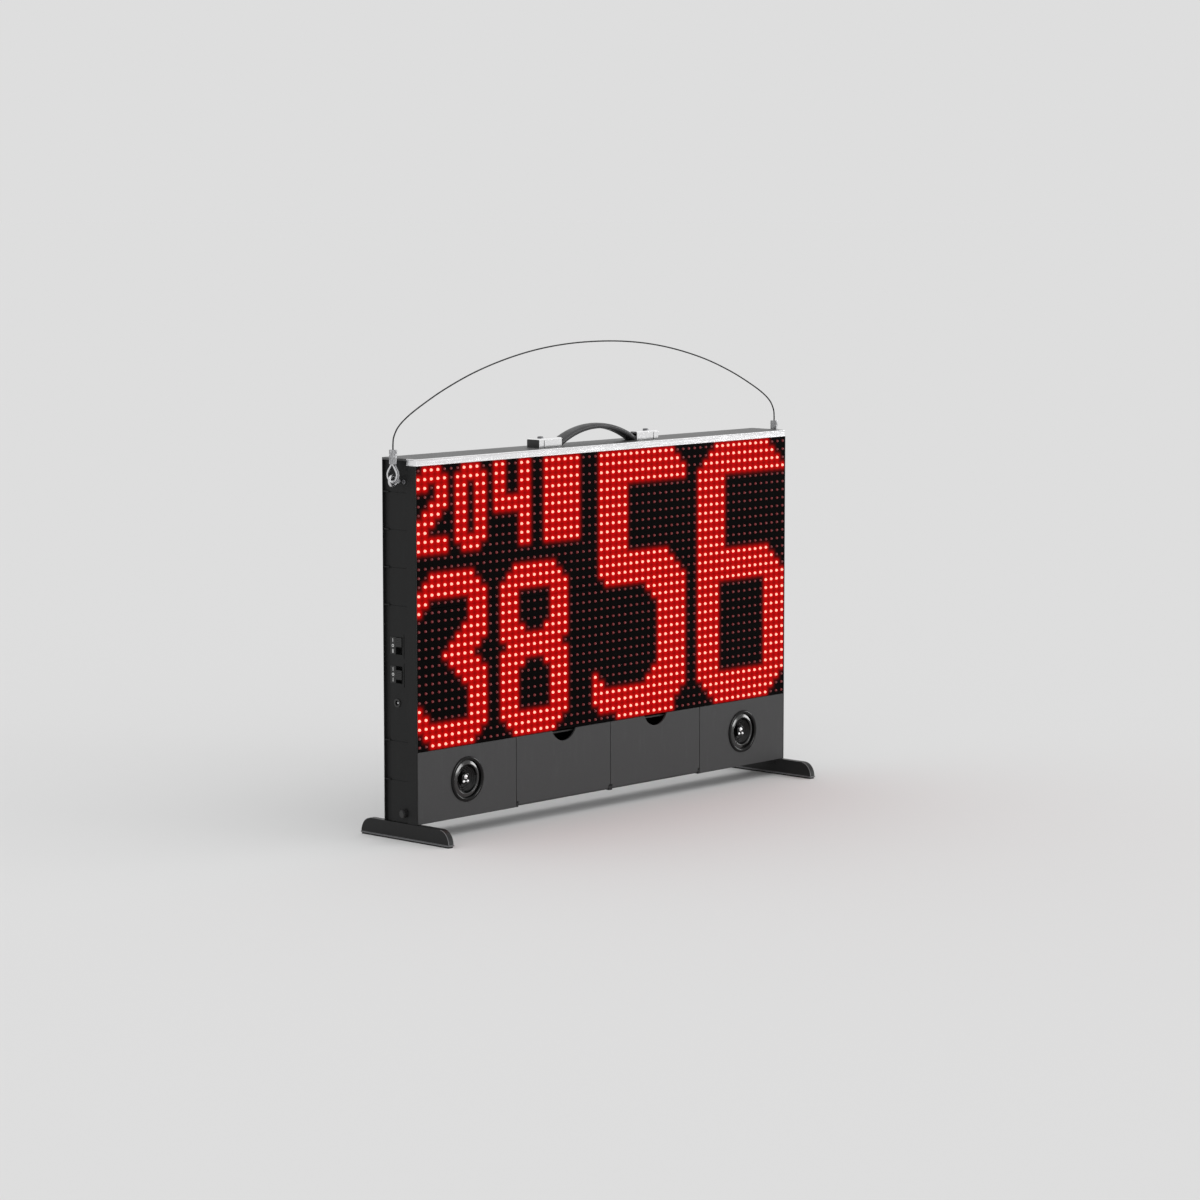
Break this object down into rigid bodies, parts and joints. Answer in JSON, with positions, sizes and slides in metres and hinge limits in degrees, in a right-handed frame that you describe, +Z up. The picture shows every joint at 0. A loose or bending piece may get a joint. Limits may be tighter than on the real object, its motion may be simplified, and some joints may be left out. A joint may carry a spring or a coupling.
{
  "type": "portable scoreboard display",
  "caption": "Slim portable lamp-matrix timer display with speakers, storage doors, strap handle, hanging wire and pull-out feet.",
  "frame": {"origin": "centre of the bounding box of the object without its hanging wire, on the ground under the feet", "axes": "+X to the right along the display, +Y from the lamps to the rear cover, +Z up"},
  "size_m": [0.672, 0.141, 0.5499],
  "materials": {
    "case_black": "fine-grained black moulding",
    "bar_black": "fine-grained dark grey moulding",
    "cover_grey": "satin dark grey",
    "trim_silver": "bright anodised",
    "plate_steel": "zinc plated sheet",
    "mask_black": "matt black mask",
    "led_red": "red lamps on a board",
    "speaker_gloss": "gloss black",
    "speaker_cone": "gloss black cone",
    "speaker_chrome": "polished",
    "magnet_metal": "ferrite magnet",
    "pin_steel": "plain steel",
    "tray_black": "black moulding",
    "pcb_green": "green circuit board",
    "post_brass": "plain brass",
    "cell_wrap": "blue shrink wrap",
    "strap_black": "grained black strap",
    "cap_chrome": "bright plated",
    "screw_steel": "blackened steel",
    "foot_black": "black moulding",
    "sole_rubber": "black rubber",
    "knob_black": "black knob",
    "switch_black": "black switch",
    "legend_black": "black plate with white marks",
    "eye_steel": "bright zinc",
    "wire_black": "black coated steel rope",
    "ferrule_metal": "pressed ferrule",
    "thimble_metal": "bright zinc"
  },
  "bodies": {
    "case": {"rear_shell": "case_black", "left_side_panel": "case_black", "right_side_panel": "case_black", "top_cover": "cover_grey", "front_trim": "trim_silver", "bottom_rail": "case_black", "backing_plate": "plate_steel", "led_mask_1": "mask_black", "led_mask_2": "mask_black", "led_mask_3": "mask_black", "led_mask_4": "mask_black", "led_board_1": "led_red", "led_board_2": "led_red", "led_board_3": "led_red", "led_board_4": "led_red", "speaker_panel_left": "bar_black", "speaker_panel_right": "bar_black", "speaker_frame_left": "speaker_gloss", "speaker_frame_right": "speaker_gloss", "speaker_cone_left": "speaker_cone", "speaker_cone_right": "speaker_cone", "speaker_cap_left": "speaker_chrome", "speaker_cap_right": "speaker_chrome", "speaker_magnet_left": "magnet_metal", "speaker_magnet_right": "magnet_metal", "hinge_pins": "pin_steel", "storage_tray_left": "tray_black", "storage_tray_right": "tray_black", "control_board": "pcb_green", "power_board": "pcb_green", "board_standoffs": "post_brass", "battery_holder": "tray_black", "battery_cells": "cell_wrap", "handle_strap": "strap_black", "handle_cap_left": "cap_chrome", "handle_cap_right": "cap_chrome", "handle_screws": "screw_steel", "clamp_nuts": "pin_steel", "power_switch_housing": "switch_black", "mode_switch_housing": "switch_black", "switch_legends": "legend_black", "jack_body": "speaker_gloss", "jack_pin": "pin_steel", "eye_bolts": "eye_steel", "eye_nuts": "eye_steel", "case_screws": "screw_steel"},
    "door_left": {"door_left": "bar_black"},
    "door_right": {"door_right": "bar_black"},
    "hanger": {"hanging_wire": "wire_black", "rope_loops": "wire_black", "ferrules": "ferrule_metal", "thimbles": "thimble_metal"},
    "foot_left": {"foot_left": "foot_black", "foot_sole_left": "sole_rubber"},
    "foot_right": {"foot_right": "foot_black", "foot_sole_right": "sole_rubber"},
    "foot_screw_left": {"foot_screw_left": "knob_black"},
    "foot_screw_right": {"foot_screw_right": "knob_black"},
    "power_slider": {"power_slider": "switch_black"},
    "mode_slider": {"mode_slider": "switch_black"}
  },
  "joints": [
    {"name": "door_left_hinge", "type": "hinge", "parent": "case", "child": "door_left", "pos_m": [-0.08, -0.0178, 0.0235], "axis": [1, 0, 0], "range_deg": [0, 90]},
    {"name": "door_right_hinge", "type": "hinge", "parent": "case", "child": "door_right", "pos_m": [0.08, -0.0178, 0.0235], "axis": [1, 0, 0], "range_deg": [0, 90]},
    {"name": "hanger_swing", "type": "hinge", "parent": "case", "child": "hanger", "pos_m": [0, 0.0055, 0.4115], "axis": [1, 0, 0], "range_deg": [-135, 135]},
    {"name": "foot_left_slide", "type": "slide", "parent": "case", "child": "foot_left", "axis": [0, 0, -1], "range_m": [0, 0.03]},
    {"name": "foot_right_slide", "type": "slide", "parent": "case", "child": "foot_right", "axis": [0, 0, -1], "range_m": [0, 0.03]},
    {"name": "foot_screw_left_turn", "type": "hinge", "parent": "case", "child": "foot_screw_left", "pos_m": [-0.3185, 0, 0.031], "axis": [-1, 0, 0], "continuous": true},
    {"name": "foot_screw_right_turn", "type": "hinge", "parent": "case", "child": "foot_screw_right", "pos_m": [0.3185, 0, 0.031], "axis": [1, 0, 0], "continuous": true},
    {"name": "power_slide", "type": "slide", "parent": "case", "child": "power_slider", "axis": [0, 0, 1], "range_m": [-0.0084, 0]},
    {"name": "mode_slide", "type": "slide", "parent": "case", "child": "mode_slider", "axis": [0, 0, 1], "range_m": [-0.0042, 0.0042]}
  ]
}
